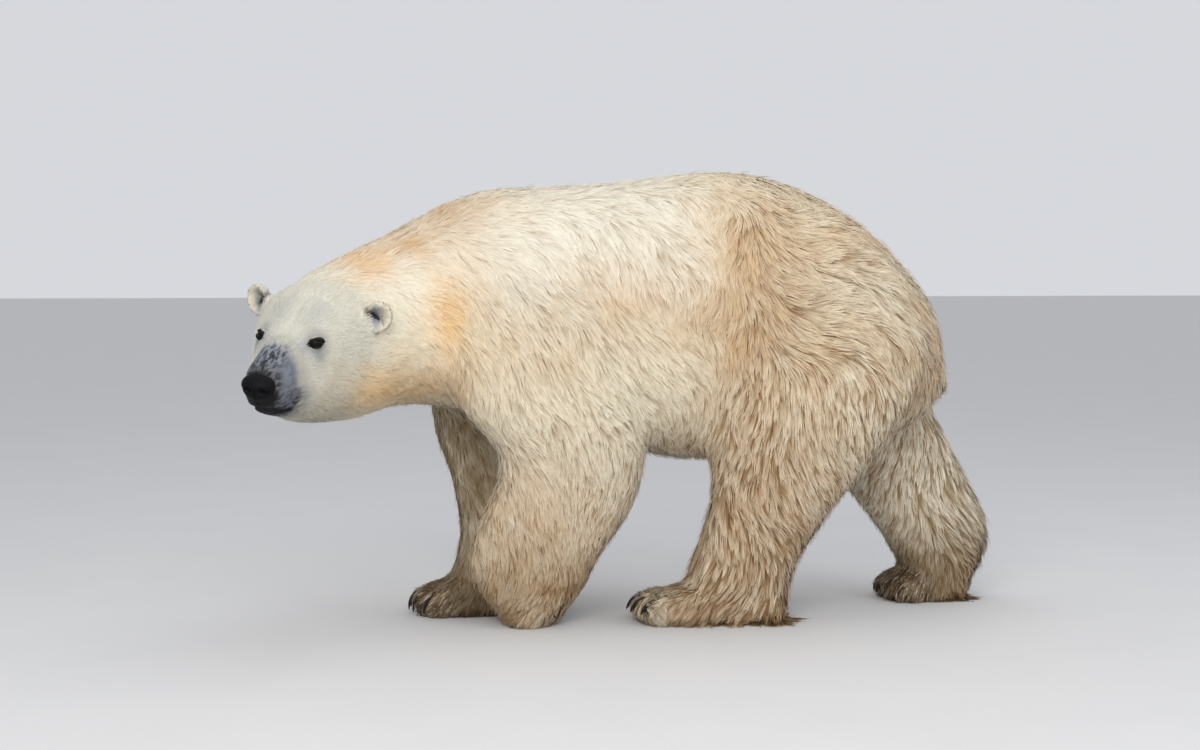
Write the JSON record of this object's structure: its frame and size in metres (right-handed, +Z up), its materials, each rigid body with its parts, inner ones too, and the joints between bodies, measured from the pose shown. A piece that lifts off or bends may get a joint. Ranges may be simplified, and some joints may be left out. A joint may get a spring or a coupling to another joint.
{
  "type": "polar bear",
  "caption": "Life-size still model of a walking polar bear, head turned to its left, near forepaw lifted on its toes, on its four feet.",
  "frame": {"origin": "on the floor, under the middle of the whole bear's box", "axes": "the bear walks towards -X, its left side is -Y and +Z is up"},
  "size_m": [1.97, 0.9372, 1.1515],
  "materials": {
    "coat": "long cream-white guard hair over black skin, stained tan on the flanks, legs and feet",
    "eye": "wet, dark brown",
    "nose": "black, finely pebbled, slightly moist",
    "claw": "black horn, worn at the tips"
  },
  "bodies": {
    "root": {"head": "coat", "jaw": "coat", "nose": "nose", "ear_left": "coat", "ear_right": "coat", "eye_left": "eye", "eye_right": "eye", "neck": "coat", "chest": "coat", "belly": "coat", "rump": "coat", "tail": "coat", "foreleg_left_upper": "coat", "foreleg_left_lower": "coat", "forepaw_left": "coat", "claw_forepaw_left_1": "claw", "claw_forepaw_left_2": "claw", "claw_forepaw_left_3": "claw", "claw_forepaw_left_4": "claw", "claw_forepaw_left_5": "claw", "foreleg_right_upper": "coat", "foreleg_right_lower": "coat", "forepaw_right": "coat", "claw_forepaw_right_1": "claw", "claw_forepaw_right_2": "claw", "claw_forepaw_right_3": "claw", "claw_forepaw_right_4": "claw", "claw_forepaw_right_5": "claw", "hindleg_left_upper": "coat", "hindleg_left_lower": "coat", "hindpaw_left": "coat", "claw_hindpaw_left_1": "claw", "claw_hindpaw_left_2": "claw", "claw_hindpaw_left_3": "claw", "claw_hindpaw_left_4": "claw", "claw_hindpaw_left_5": "claw", "hindleg_right_upper": "coat", "hindleg_right_lower": "coat", "hindpaw_right": "coat", "claw_hindpaw_right_1": "claw", "claw_hindpaw_right_2": "claw", "claw_hindpaw_right_3": "claw", "claw_hindpaw_right_4": "claw", "claw_hindpaw_right_5": "claw"}
  },
  "joints": []
}
